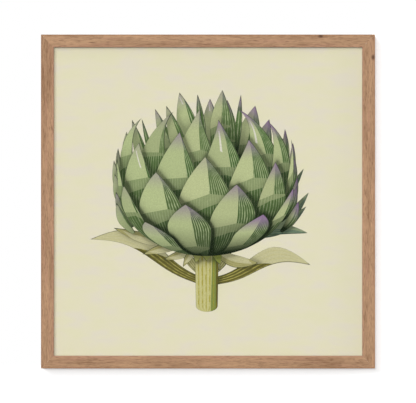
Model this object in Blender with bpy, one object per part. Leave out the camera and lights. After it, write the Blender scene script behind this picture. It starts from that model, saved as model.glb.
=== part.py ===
"""Framed square print: a mitred oak frame around glazing, a paper print and a backboard.

Metres. X runs to the right, Z up, and the face of the frame looks along -Y.
The origin is the centre of the footprint, level with the frame's lower edge.
"""

from math import cos, pi, radians, sin

import bmesh
import bpy
from mathutils import Matrix, Vector

# The print, a standard 50 x 50 cm sheet, and the play it has in the rebate on each side
PRINT_WIDTH = 0.500
PRINT_HEIGHT = 0.500
SHEET_PLAY = 0.001

# The moulding's section
FACE_WIDTH = 0.020
RAIL_DEPTH = 0.025
LIP_WIDTH = 0.006
LIP_THICKNESS = 0.005
ARRIS = 0.0010
SIGHT_ARRIS = 0.0008
ARC_STEPS = 4

# The layers that lie in the rebate
GLAZING_THICKNESS = 0.0020
PRINT_THICKNESS = 0.0004
BACKBOARD_THICKNESS = 0.0030

# Spaces between pieces
GAP = 0.0003
OVERCUT = 0.001

# Flexible tabs that hold the layers in, fired into the rebate's wall
TABS_PER_RAIL = 3
TAB_PITCH = 0.160
TAB_LENGTH = 0.0240
TAB_WIDTH = 0.0060
TAB_THICKNESS = 0.0005
TAB_BITE = 0.0048
TAB_POINT = 0.0020

# V-nails that draw the mitres together, driven in from behind
NAIL_WING = 0.0070
NAIL_CURL = 0.0008
NAIL_HEIGHT = 0.0100
NAIL_THICKNESS = 0.0005

# Sawtooth hanger, screwed to the back of the top rail
HANGER_LENGTH = 0.0600
HANGER_HEIGHT = 0.0100
HANGER_THICKNESS = 0.0008
HANGER_RISE = 0.0016
HANGER_FOOT = 0.0090
TOOTH_PITCH = 0.0024
TOOTH_WIDTH = 0.0020
TOOTH_DEPTH = 0.0018

# Pan-head screws of the hanger
SCREW_SHANK_RADIUS = 0.00125
SCREW_LENGTH = 0.0100
SCREW_TIP = 0.0020
SCREW_HEAD_RADIUS = 0.0028
SCREW_HEAD_HEIGHT = 0.0013
RECESS_SPAN = 0.0030
RECESS_WIDTH = 0.0006
RECESS_DEPTH = 0.0007

# Wall bumpers, stuck to the back of the bottom rail
BUMPER_RADIUS = 0.0050
BUMPER_DEPTH = 0.0030
BUMPER_ROUND = 0.0005
BUMPER_INSET = 0.0300

# Roundness of turned pieces, and the angle up to which neighbouring faces are shaded as one
TURN_STEPS = 32
SMOOTH_ANGLE = 35

# Places that follow from the sizes
BACK_WIDTH = FACE_WIDTH - LIP_WIDTH
OUTER_WIDTH = PRINT_WIDTH + 2 * (SHEET_PLAY + BACK_WIDTH)
OUTER_HEIGHT = PRINT_HEIGHT + 2 * (SHEET_PLAY + BACK_WIDTH)
FRONT_Y = -(RAIL_DEPTH + BUMPER_DEPTH) / 2
BACK_Y = FRONT_Y + RAIL_DEPTH
CENTRE_Z = OUTER_HEIGHT / 2
GLAZING_Y = FRONT_Y + LIP_THICKNESS + GAP
PRINT_Y = GLAZING_Y + GLAZING_THICKNESS + GAP
BACKBOARD_Y = PRINT_Y + PRINT_THICKNESS + GAP
TAB_Y = BACKBOARD_Y + BACKBOARD_THICKNESS + GAP
HANGER_Y = BACK_Y + GAP
SCREW_SPAN = HANGER_LENGTH - HANGER_FOOT
HOLE_RADIUS = SCREW_SHANK_RADIUS + GAP

SIDES = {"bottom": 0, "left": 90, "top": 180, "right": 270}
CORNERS = {
    "bottom_left": (-1, -1),
    "bottom_right": (1, -1),
    "top_left": (-1, 1),
    "top_right": (1, 1),
}


def clear_scene():
    for item in list(bpy.data.objects):
        bpy.data.objects.remove(item, do_unlink=True)


def finish(name, hex_colour, roughness, metallic=0.0, transmission=0.0):
    """A plain material from an sRGB hex colour."""
    channels = [int(hex_colour[i:i + 2], 16) / 255 for i in (1, 3, 5)]
    linear = [c / 12.92 if c <= 0.04045 else ((c + 0.055) / 1.055) ** 2.4 for c in channels]
    material = bpy.data.materials.new(name)
    material.use_nodes = True
    shader = material.node_tree.nodes["Principled BSDF"]
    shader.inputs["Base Color"].default_value = (*linear, 1)
    shader.inputs["Roughness"].default_value = roughness
    shader.inputs["Metallic"].default_value = metallic
    shader.inputs["Transmission Weight"].default_value = transmission
    return material


def make_object(name, mesh_edit, material=None):
    """Turns an edit mesh into an object whose faces point outwards."""
    bmesh.ops.recalc_face_normals(mesh_edit, faces=mesh_edit.faces)
    mesh = bpy.data.meshes.new(name)
    mesh_edit.to_mesh(mesh)
    mesh_edit.free()
    item = bpy.data.objects.new(name, mesh)
    bpy.context.scene.collection.objects.link(item)
    if material:
        mesh.materials.append(material)
    return item


def cut(item, mesh_edit):
    """Cuts a shape, given in the object's own axes, out of it with a Boolean that stays live."""
    cutter = make_object(item.name + "_cutter", mesh_edit)
    cutter.matrix_world = item.matrix_world.copy()
    cutter.hide_render = True
    cutter.display_type = "WIRE"
    boolean = item.modifiers.new("Cut", "BOOLEAN")
    boolean.operation = "DIFFERENCE"
    boolean.solver = "EXACT"
    boolean.object = cutter


def extrude(mesh_edit, outline, start, end):
    """Extrudes a closed outline of (x, z) points along Y, from start to end."""
    rings = [[mesh_edit.verts.new((x, y, z)) for x, z in outline] for y in (start, end)]
    bridge(mesh_edit, rings)


def bridge(mesh_edit, rings):
    """Joins two matching rings of vertices with quads and caps both."""
    near, far = rings
    for i, vertex in enumerate(near):
        previous = i - 1
        mesh_edit.faces.new((near[previous], vertex, far[i], far[previous]))
    mesh_edit.faces.new(near)
    mesh_edit.faces.new(far)


def rectangle(x_low, x_high, z_low, z_high):
    return [(x_low, z_low), (x_high, z_low), (x_high, z_high), (x_low, z_high)]


def arc(centre, radius, start, end, steps=ARC_STEPS):
    """Points along an arc, with angles in degrees."""
    angles = [radians(start + (end - start) * i / steps) for i in range(steps + 1)]
    return [(centre[0] + radius * cos(a), centre[1] + radius * sin(a)) for a in angles]


def strip(path, thickness):
    """The closed outline of a strip of even thickness, centred on a path of (x, z) points."""
    points = [Vector(p) for p in path]
    directions = [(b - a).normalized() for a, b in zip(points, points[1:])]
    left, right = [], []
    for i, point in enumerate(points):
        before = directions[max(i - 1, 0)]
        after = directions[min(i, len(directions) - 1)]
        along = (before + after).normalized()
        offset = Vector((-along.y, along.x)) * (thickness / 2 / along.dot(after))
        left.append(tuple(point + offset))
        right.append(tuple(point - offset))
    return left + right[::-1]


def turned(mesh_edit, profile, x=0.0, z=0.0):
    """Turns a profile of (radius, y) points, closed at both ends on the axis, about Y."""
    edges = []
    verts = [mesh_edit.verts.new((radius, y, 0)) for radius, y in profile]
    for a, b in zip(verts, verts[1:]):
        edges.append(mesh_edit.edges.new((a, b)))
    bmesh.ops.spin(
        mesh_edit,
        geom=verts + edges,
        cent=(0, 0, 0),
        axis=(0, 1, 0),
        angle=2 * pi,
        steps=TURN_STEPS,
        use_merge=True,
    )
    bmesh.ops.remove_doubles(mesh_edit, verts=mesh_edit.verts, dist=0.000001)
    bmesh.ops.translate(mesh_edit, verts=mesh_edit.verts, vec=(x, 0, z))


def shade_round(item):
    item.data.shade_smooth()
    item.data.set_sharp_from_angle(angle=radians(SMOOTH_ANGLE))


def rail_sizes(side):
    """A rail's outer length, and how far its outer edge is from the frame's centre."""
    if side in ("bottom", "top"):
        return OUTER_WIDTH, OUTER_HEIGHT / 2
    return OUTER_HEIGHT, OUTER_WIDTH / 2


def turn_to_side(item, side):
    """Swings an object modelled on the bottom rail, about the frame's centre, to its own side."""
    item.matrix_world = Matrix.Translation((0, 0, CENTRE_Z)) @ Matrix.Rotation(
        radians(SIDES[side]), 4, "Y"
    )


def rail_section():
    """The moulding's section: distance in from the outer edge, and back from the face."""
    outer_front = arc((ARRIS, ARRIS), ARRIS, 180, 270)
    sight_front = arc((FACE_WIDTH - SIGHT_ARRIS, SIGHT_ARRIS), SIGHT_ARRIS, 270, 360)
    rebate = [(FACE_WIDTH, LIP_THICKNESS), (BACK_WIDTH, LIP_THICKNESS), (BACK_WIDTH, RAIL_DEPTH)]
    outer_back = arc((ARRIS, RAIL_DEPTH - ARRIS), ARRIS, 90, 180)
    return outer_front + sight_front + rebate + outer_back


def tab_places():
    middle = (TABS_PER_RAIL - 1) / 2
    return [(i - middle) * TAB_PITCH for i in range(TABS_PER_RAIL)]


def nail_path(corner, reach=0.0):
    """A V-nail's path, its apex halfway across the rails and its wings along them."""
    across, up = CORNERS[corner]
    x = OUTER_WIDTH / 2 - BACK_WIDTH / 2
    z = OUTER_HEIGHT / 2 - BACK_WIDTH / 2
    wing, curl = NAIL_WING, NAIL_CURL
    path = [(wing + reach, curl + reach), (wing - curl, 0), (0, 0), (0, wing - curl)]
    path.append((curl + reach, wing + reach))
    return [(across * (x - a), up * (z - b)) for a, b in path]


def make_rail(side, material):
    """A mitred, rebated rail with sockets for its tabs, V-nails and screws."""
    length, reach = rail_sizes(side)
    mitre_gap = GAP / 2 / sin(radians(45))
    mesh_edit = bmesh.new()
    rings = []
    for end in (-1, 1):
        ring = []
        for inward, back in rail_section():
            x = end * (length / 2 - inward - mitre_gap)
            ring.append(mesh_edit.verts.new((x, FRONT_Y + back, inward - reach)))
        rings.append(ring)
    bridge(mesh_edit, rings)
    rail = make_object("frame_rail_" + side, mesh_edit, material)
    turn_to_side(rail, side)
    shade_round(rail)
    cut(rail, rail_sockets(side, reach))


def rail_sockets(side, reach):
    """All that is cut out of a rail, in the rail's own place at the bottom of the frame."""
    sockets = bmesh.new()
    wall = BACK_WIDTH - reach
    for x in tab_places():
        half = TAB_WIDTH / 2 + GAP
        outline = rectangle(x - half, x + half, wall - TAB_BITE - GAP, wall + OVERCUT)
        extrude(sockets, outline, TAB_Y - GAP, TAB_Y + TAB_THICKNESS + GAP)
    turn = Matrix.Rotation(-radians(SIDES[side]), 4, "Y")
    for corner in CORNERS:
        if side in corner:
            path = nail_path(corner, reach=GAP)
            slot = strip(path, NAIL_THICKNESS + 2 * GAP)
            local = [turn @ Vector((x, 0, z)) for x, z in slot]
            depth = NAIL_HEIGHT + 2 * GAP
            extrude(sockets, [(p.x, p.z) for p in local], BACK_Y - depth, BACK_Y + OVERCUT)
    if side == "top":
        for x in (-SCREW_SPAN / 2, SCREW_SPAN / 2):
            hole = arc((x, BACK_WIDTH / 2 - reach), HOLE_RADIUS, 0, 360, TURN_STEPS)[:-1]
            bottom = HANGER_Y + HANGER_THICKNESS - SCREW_LENGTH - GAP
            extrude(sockets, hole, bottom, BACK_Y + OVERCUT)
    return sockets


def make_layer(name, y, thickness, material):
    """A flat sheet of the print's size, in the rebate."""
    mesh_edit = bmesh.new()
    x, z = PRINT_WIDTH / 2, PRINT_HEIGHT / 2
    extrude(mesh_edit, rectangle(-x, x, CENTRE_Z - z, CENTRE_Z + z), y, y + thickness)
    make_object(name, mesh_edit, material)


def make_tabs(side, material):
    """The flexible tabs of one rail: pointed in the wood, round over the backboard."""
    _, reach = rail_sizes(side)
    wall = BACK_WIDTH - reach
    half = TAB_WIDTH / 2
    for number, x in enumerate(tab_places(), 1):
        low = wall - TAB_BITE
        high = low + TAB_LENGTH
        point = [(x, low), (x + half, low + TAB_POINT)]
        tip = arc((x, high - half), half, 0, 180, 2 * ARC_STEPS)
        outline = point + tip + [(x - half, low + TAB_POINT)]
        mesh_edit = bmesh.new()
        extrude(mesh_edit, outline, TAB_Y, TAB_Y + TAB_THICKNESS)
        tab = make_object(f"flexi_tab_{side}_{number}", mesh_edit, material)
        turn_to_side(tab, side)


def make_nails(material):
    for corner in CORNERS:
        mesh_edit = bmesh.new()
        outline = [(x, z + CENTRE_Z) for x, z in strip(nail_path(corner), NAIL_THICKNESS)]
        extrude(mesh_edit, outline, BACK_Y - GAP - NAIL_HEIGHT, BACK_Y - GAP)
        make_object("v_nail_" + corner, mesh_edit, material)


def make_hanger(z, material):
    """A sawtooth hanger: flat feet, a raised bar between them, teeth along its lower edge."""
    half = HANGER_LENGTH / 2
    step = half - HANGER_FOOT
    low = HANGER_Y + HANGER_THICKNESS / 2
    high = low + HANGER_RISE
    path = [(-half, low), (-step, low), (HANGER_RISE - step, high)]
    path += [(-x, y) for x, y in reversed(path)]
    section = strip(path, HANGER_THICKNESS)
    mesh_edit = bmesh.new()
    rings = [
        [mesh_edit.verts.new((x, y, z + end * HANGER_HEIGHT / 2)) for x, y in section]
        for end in (-1, 1)
    ]
    bridge(mesh_edit, rings)
    hanger = make_object("sawtooth_hanger", mesh_edit, material)
    cut(hanger, hanger_openings(z, 2 * (step - 2 * HANGER_RISE)))


def hanger_openings(z, toothed_length):
    """The notches between the teeth and the two screw holes."""
    openings = bmesh.new()
    edge = z - HANGER_HEIGHT / 2
    half = TOOTH_WIDTH / 2
    notches = int(toothed_length / TOOTH_PITCH)
    near, far = BACK_Y, BACK_Y + BUMPER_DEPTH + OVERCUT
    for i in range(notches):
        x = (i - (notches - 1) / 2) * TOOTH_PITCH
        notch = rectangle(x - half, x + half, edge - OVERCUT, edge)
        notch.insert(3, (x, edge + TOOTH_DEPTH))
        extrude(openings, notch, near, far)
    for x in (-SCREW_SPAN / 2, SCREW_SPAN / 2):
        extrude(openings, arc((x, z), HOLE_RADIUS, 0, 360, TURN_STEPS)[:-1], near, far)
    return openings


def make_screws(z, material):
    """Pan-head screws with a cross recess, seated on the hanger's feet."""
    seat = HANGER_Y + HANGER_THICKNESS + GAP
    tip = HANGER_Y + HANGER_THICKNESS - SCREW_LENGTH
    top = seat + SCREW_HEAD_HEIGHT
    crown = SCREW_HEAD_HEIGHT / 2
    for side, x in (("left", -SCREW_SPAN / 2), ("right", SCREW_SPAN / 2)):
        profile = [(0, tip), (SCREW_SHANK_RADIUS, tip + SCREW_TIP), (SCREW_SHANK_RADIUS, seat)]
        profile += [(SCREW_HEAD_RADIUS, seat)]
        profile += arc((SCREW_HEAD_RADIUS - crown, top - crown), crown, 0, 90)
        profile += [(0, top)]
        mesh_edit = bmesh.new()
        turned(mesh_edit, profile, x, z)
        screw = make_object("hanger_screw_" + side, mesh_edit, material)
        shade_round(screw)
        recess = bmesh.new()
        span, slot = RECESS_SPAN / 2, RECESS_WIDTH / 2
        arm = [Vector((span, -slot)), Vector((span, slot)), Vector((slot, slot))]
        turns = [Matrix.Rotation(quarter * pi / 2, 2) for quarter in range(4)]
        cross = [turn @ point + Vector((x, z)) for turn in turns for point in arm]
        extrude(recess, cross, top - RECESS_DEPTH, top + OVERCUT)
        cut(screw, recess)


def make_bumpers(material):
    """Round stick-on bumpers near the bottom rail's ends."""
    seat, face = BACK_Y + GAP, BACK_Y + BUMPER_DEPTH
    flat = BUMPER_RADIUS - BUMPER_ROUND
    profile = [(0, seat), (BUMPER_RADIUS, seat)]
    profile += arc((flat, face - BUMPER_ROUND), BUMPER_ROUND, 0, 90) + [(0, face)]
    half = OUTER_WIDTH / 2 - BUMPER_INSET
    for side, x in (("left", -half), ("right", half)):
        mesh_edit = bmesh.new()
        turned(mesh_edit, profile, x, BACK_WIDTH / 2)
        shade_round(make_object("bumper_" + side, mesh_edit, material))


def main():
    clear_scene()
    oak = finish("oak", "#B08C6F", 0.55)
    glass = finish("glass", "#F4F9F6", 0.03, transmission=1.0)
    art_paper = finish("art_paper", "#DFDABE", 0.9)
    fibreboard = finish("fibreboard", "#8A6A48", 0.85)
    spring_steel = finish("spring_steel", "#55585C", 0.4, metallic=1.0)
    zinc_steel = finish("zinc_steel", "#B9BCC0", 0.35, metallic=1.0)
    rubber = finish("rubber", "#2A2A2B", 0.8)

    for side in SIDES:
        make_rail(side, oak)
        make_tabs(side, spring_steel)
    make_nails(zinc_steel)
    make_layer("glazing", GLAZING_Y, GLAZING_THICKNESS, glass)
    make_layer("art_print", PRINT_Y, PRINT_THICKNESS, art_paper)
    make_layer("backboard", BACKBOARD_Y, BACKBOARD_THICKNESS, fibreboard)
    hanger_z = OUTER_HEIGHT - BACK_WIDTH / 2
    make_hanger(hanger_z, zinc_steel)
    make_screws(hanger_z, zinc_steel)
    make_bumpers(rubber)


main()
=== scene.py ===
"""Visual model of a framed botanical print: an oak frame, glass, the printed sheet and what holds them."""

import logging
from collections.abc import Callable, Iterator
from dataclasses import dataclass, field
from enum import Enum
from math import asin, ceil, copysign, cos, hypot, pi, radians, sin, sqrt
from random import Random

import bmesh
import bpy
import numpy as np
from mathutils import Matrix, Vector
from mathutils.geometry import delaunay_2d_cdt


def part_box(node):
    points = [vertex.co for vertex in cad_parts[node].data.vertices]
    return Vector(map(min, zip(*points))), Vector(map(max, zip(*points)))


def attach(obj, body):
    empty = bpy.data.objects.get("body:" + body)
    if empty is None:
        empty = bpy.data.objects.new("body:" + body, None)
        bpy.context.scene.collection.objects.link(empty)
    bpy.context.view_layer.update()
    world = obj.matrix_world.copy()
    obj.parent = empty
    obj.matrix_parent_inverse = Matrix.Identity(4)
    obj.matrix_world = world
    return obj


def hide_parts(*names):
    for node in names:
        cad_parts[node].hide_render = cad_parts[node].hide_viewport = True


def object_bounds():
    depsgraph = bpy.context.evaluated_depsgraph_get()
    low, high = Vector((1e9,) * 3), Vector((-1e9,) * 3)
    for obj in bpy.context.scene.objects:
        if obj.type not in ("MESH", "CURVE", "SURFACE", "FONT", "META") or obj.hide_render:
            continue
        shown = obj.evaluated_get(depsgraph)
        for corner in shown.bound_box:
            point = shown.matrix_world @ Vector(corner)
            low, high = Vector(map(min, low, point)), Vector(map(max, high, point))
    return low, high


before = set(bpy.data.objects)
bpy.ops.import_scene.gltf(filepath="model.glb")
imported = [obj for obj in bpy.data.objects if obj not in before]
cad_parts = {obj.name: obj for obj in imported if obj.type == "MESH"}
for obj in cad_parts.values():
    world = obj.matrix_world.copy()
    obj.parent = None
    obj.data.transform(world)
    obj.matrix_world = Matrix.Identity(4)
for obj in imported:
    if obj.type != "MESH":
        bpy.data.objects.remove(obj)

CAD_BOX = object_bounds()
BODY = "root"
MM = 0.001

log = logging.getLogger("framed_print")


# ---------------------------------------------------------------------------------------------------------
# Node tools


class Mix:
    """A colour Mix node's socket numbers, because its sockets share their names, and its settings."""

    FACTOR, A, B = 0, 6, 7
    COLOUR = {"out": 2, "data_type": "RGBA"}


def linear(tint: str) -> tuple[float, float, float, float]:
    """Turns an sRGB hex colour into linear light.

    Args:
        tint: the colour as "#RRGGBB".

    Returns:
        Red, green, blue and an alpha of 1.
    """
    shares = (int(tint[place:place + 2], 16) / 255 for place in (1, 3, 5))
    red, green, blue = (s / 12.92 if s <= 0.04045 else ((s + 0.055) / 1.055) ** 2.4 for s in shares)
    return red, green, blue, 1.0


def add(tree: bpy.types.NodeTree, kind: str, inputs: dict | None = None, out: int | str = 0,
        stops: tuple = (), **settings: object) -> bpy.types.NodeSocket:
    """Adds one node with its settings and links.

    Args:
        tree: the node tree that takes the node.
        kind: the node's type.
        inputs: what each input, by name or number, gets: a value, a hex colour or another node's socket.
        out: the output that is handed back, by name or number.
        stops: a colour ramp's stops, each a place and a hex colour.
        settings: the node's own settings.

    Returns:
        The output socket. Its node is the socket's .node.
    """
    node = tree.nodes.new(kind)
    for name, value in settings.items():
        setattr(node, name, value)
    for place, tint in stops[2:]:
        node.color_ramp.elements.new(place)
    for number, (place, tint) in enumerate(stops):
        node.color_ramp.elements[number].position = place
        node.color_ramp.elements[number].color = linear(tint)
    for name, value in (inputs or {}).items():
        if isinstance(value, bpy.types.NodeSocket):
            tree.links.new(value, node.inputs[name])
        else:
            node.inputs[name].default_value = linear(value) if isinstance(value, str) else value
    return node.outputs[out] if node.outputs else None


def new_material(name: str) -> tuple[bpy.types.Material, bpy.types.NodeTree]:
    """Makes an empty node material.

    Args:
        name: the finish's common name.

    Returns:
        The material and its cleared node tree.
    """
    made = bpy.data.materials.new(name)
    made.use_nodes = True
    made.node_tree.nodes.clear()
    return made, made.node_tree


# ---------------------------------------------------------------------------------------------------------
# Finishes


class Grain(Enum):
    """Which way the fibres of a piece of wood run."""

    ALONG_X = 0
    ALONG_Z = 2


@dataclass(frozen=True)
class OiledOak:
    """Planed oak with a warm oil finish: fine long fibres, short dark pores and a satin, uneven gloss."""

    grain: Grain
    light: str = "#C89F7B"
    middle: str = "#B28D6D"
    dark: str = "#8E6A4D"
    pore: str = "#6E4E38"
    knot: str = "#5A3E2E"
    # A rosy tone: the wood's random flush, and also a painted highlight along the sight edge
    rosy_tone_and_sight_highlight: str = "#C09178"
    # A darker orange, painted shade along the outer arris
    outer_arris_shade: str = "#A8764E"
    face: float = 20 * MM
    knots: tuple[tuple[float, float], ...] = ((262 * MM, 494 * MM), (179 * MM, 527 * MM))

    def material(self) -> bpy.types.Material:
        """Builds the wood.

        Returns:
            The material, with its fibres along the grain.
        """
        made, tree = new_material(f"oiled oak, grain {self.grain.name.lower()}")
        place = add(tree, "ShaderNodeTexCoord", out="Object")

        def fibres(length: float, width: float, detail: float, seed: float) -> bpy.types.NodeSocket:
            """Adds noise that is drawn out along the grain.

            Args:
                length: its spots' length in millimetres.
                width: their width in millimetres.
                detail: how many finer layers it has.
                seed: which part of the noise is used.

            Returns:
                The noise, from 0 to 1.
            """
            scale = [1 / (width * MM)] * 3
            scale[self.grain.value] = 1 / (length * MM)
            at = add(tree, "ShaderNodeMapping", {"Vector": place, "Scale": scale,
                                                 "Location": (seed, seed, seed)})
            return add(tree, "ShaderNodeTexNoise", {"Vector": at, "Scale": 1.0, "Detail": detail,
                                                    "Roughness": 0.6}, out="Fac")

        # Real oak pores are 0.2 mm wide and 2 to 5 mm long. They are drawn coarser, so that they show.
        board = fibres(140, 14, 2, 3.1)
        bands = fibres(34, 2.6, 3, 11.7)
        streaks = fibres(14, 1.05, 3, 5.3)
        pores = fibres(9, 0.55, 1, 23.9)
        mixed = add(tree, "ShaderNodeMath", {0: bands, 1: 0.5, 2: board}, operation="MULTIPLY_ADD")
        mixed = add(tree, "ShaderNodeMath", {0: streaks, 1: 1.0, 2: mixed}, operation="MULTIPLY_ADD")
        tone = add(tree, "ShaderNodeMapRange", {"Value": mixed, "From Min": 0.94, "From Max": 1.58})
        wood = add(tree, "ShaderNodeValToRGB", {"Fac": tone},
                   stops=((0.0, self.dark), (0.5, self.middle), (1.0, self.light)))
        flush = add(tree, "ShaderNodeMapRange", {"Value": fibres(60, 5, 1, 41.3), "From Min": 0.5,
                                                 "From Max": 0.75, "To Max": 0.45})
        wood = add(tree, "ShaderNodeMix", {Mix.FACTOR: flush, Mix.A: wood, Mix.B: self.rosy_tone_and_sight_highlight}, **Mix.COLOUR)

        # Painted light along the arrises: a rosy painted highlight on the sight edge and a darker painted
        # shade along the outer arris
        low, high = CAD_BOX
        centre = (0.0, 0.0, (low[2] + high[2]) / 2)
        away = add(tree, "ShaderNodeVectorMath", {0: place, 1: centre}, operation="SUBTRACT")
        away = add(tree, "ShaderNodeVectorMath", {0: away}, operation="ABSOLUTE")
        away = add(tree, "ShaderNodeSeparateXYZ", {0: away}).node
        away = add(tree, "ShaderNodeMath", {0: away.outputs[0], 1: away.outputs[2]}, operation="MAXIMUM")
        inner = (high[0] - low[0]) / 2 - self.face
        for tint, near, far, share in ((self.rosy_tone_and_sight_highlight, inner + 3.0 * MM, inner + 1.2 * MM, 0.55),
                                       (self.outer_arris_shade, high[0] - 2.4 * MM, high[0] - 0.6 * MM, 0.7)):
            line = add(tree, "ShaderNodeMapRange", {"Value": away, "From Min": near, "From Max": far,
                                                    "To Max": share})
            wood = add(tree, "ShaderNodeMix", {Mix.FACTOR: line, Mix.A: wood, Mix.B: tint}, **Mix.COLOUR)

        # Small pin knots, drawn out along the grain
        shape = [1.0, 0.0, 1.0]
        shape[self.grain.value] = 0.6
        for across, up in self.knots:
            knot = add(tree, "ShaderNodeVectorMath", {0: place, 1: (across, 0.0, up)}, operation="SUBTRACT")
            knot = add(tree, "ShaderNodeVectorMath", {0: knot, 1: shape}, operation="MULTIPLY")
            knot = add(tree, "ShaderNodeVectorMath", {0: knot}, out="Value", operation="LENGTH")
            knot = add(tree, "ShaderNodeMath", {0: streaks, 1: 2.5 * MM, 2: knot}, operation="MULTIPLY_ADD")
            knot = add(tree, "ShaderNodeMapRange", {"Value": knot, "From Min": 2.3 * MM,
                                                    "From Max": 4.8 * MM, "To Min": 0.9, "To Max": 0.0})
            wood = add(tree, "ShaderNodeMix", {Mix.FACTOR: knot, Mix.A: wood, Mix.B: self.knot},
                       **Mix.COLOUR)

        # The pores lie over all of it, a little sunk
        dashes = add(tree, "ShaderNodeMapRange", {"Value": pores, "From Min": 0.56, "From Max": 0.70,
                                                  "To Max": 0.7})
        wood = add(tree, "ShaderNodeMix", {Mix.FACTOR: dashes, Mix.A: wood, Mix.B: self.pore}, **Mix.COLOUR)
        gloss = add(tree, "ShaderNodeMapRange", {"Value": streaks, "To Min": 0.50, "To Max": 0.68})
        height = add(tree, "ShaderNodeMath", {0: streaks, 1: dashes}, operation="SUBTRACT")
        bump = add(tree, "ShaderNodeBump", {"Height": height, "Strength": 0.35, "Distance": 0.12 * MM})
        surface = add(tree, "ShaderNodeBsdfPrincipled", {"Base Color": wood, "Roughness": gloss, "IOR": 1.5,
                                                         "Specular IOR Level": 0.3, "Normal": bump})
        add(tree, "ShaderNodeOutputMaterial", {"Surface": surface})
        return made


@dataclass(frozen=True)
class CottonPaper:
    """Matt cotton paper with an aged tint washed over it: soft cloudy mottling over a fine tooth."""

    ground: str = "#E1DCC0"
    warm: str = "#E0DAC6"
    cool: str = "#E0DCBC"

    def material(self) -> bpy.types.Material:
        """Builds the paper.

        Returns:
            The material.
        """
        made, tree = new_material("cotton paper, tinted")
        place = add(tree, "ShaderNodeTexCoord", out="Object")
        # The tint was brushed on from side to side
        stroke = (1 / (48 * MM), 1.0, 1 / (18 * MM))
        brushed = add(tree, "ShaderNodeMapping", {"Vector": place, "Scale": stroke})
        clouds = add(tree, "ShaderNodeTexNoise", {"Vector": brushed, "Scale": 1.0, "Detail": 4.0,
                                                  "Roughness": 0.6}, out="Fac")
        tint = add(tree, "ShaderNodeValToRGB", {"Fac": clouds},
                   stops=((0.38, self.cool), (0.5, self.ground), (0.62, self.warm)))
        tooth = add(tree, "ShaderNodeTexNoise", {"Vector": place, "Scale": 1 / (0.6 * MM), "Detail": 2.0},
                    out="Fac")
        bump = add(tree, "ShaderNodeBump", {"Height": tooth, "Strength": 0.1, "Distance": 0.05 * MM})
        surface = add(tree, "ShaderNodeBsdfPrincipled", {"Base Color": tint, "Roughness": 0.9,
                                                         "Specular IOR Level": 0.1, "Normal": bump})
        add(tree, "ShaderNodeOutputMaterial", {"Surface": surface})
        return made


# The maps and attributes that the drawing hands to its ink
SPAN_MAP = "span"        # across a blade from -1 to 1, and along it from base 0 to tip 1
EDGE_MAP = "edge"        # millimetres in from the blade's outline, and millimetres down from its tip
WASH = "wash"            # the colour laid down
VEIN = "vein"            # the colour of the fine lines over it
TRAITS = "traits"        # how strong the veins are, how many to a half width, and how strong the tip's tint
DEPTH = "depth"          # how deep in the shadow of the blades in front
BAKE_MAP = "OFBake"      # the sheet laid out flat, for export


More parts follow.
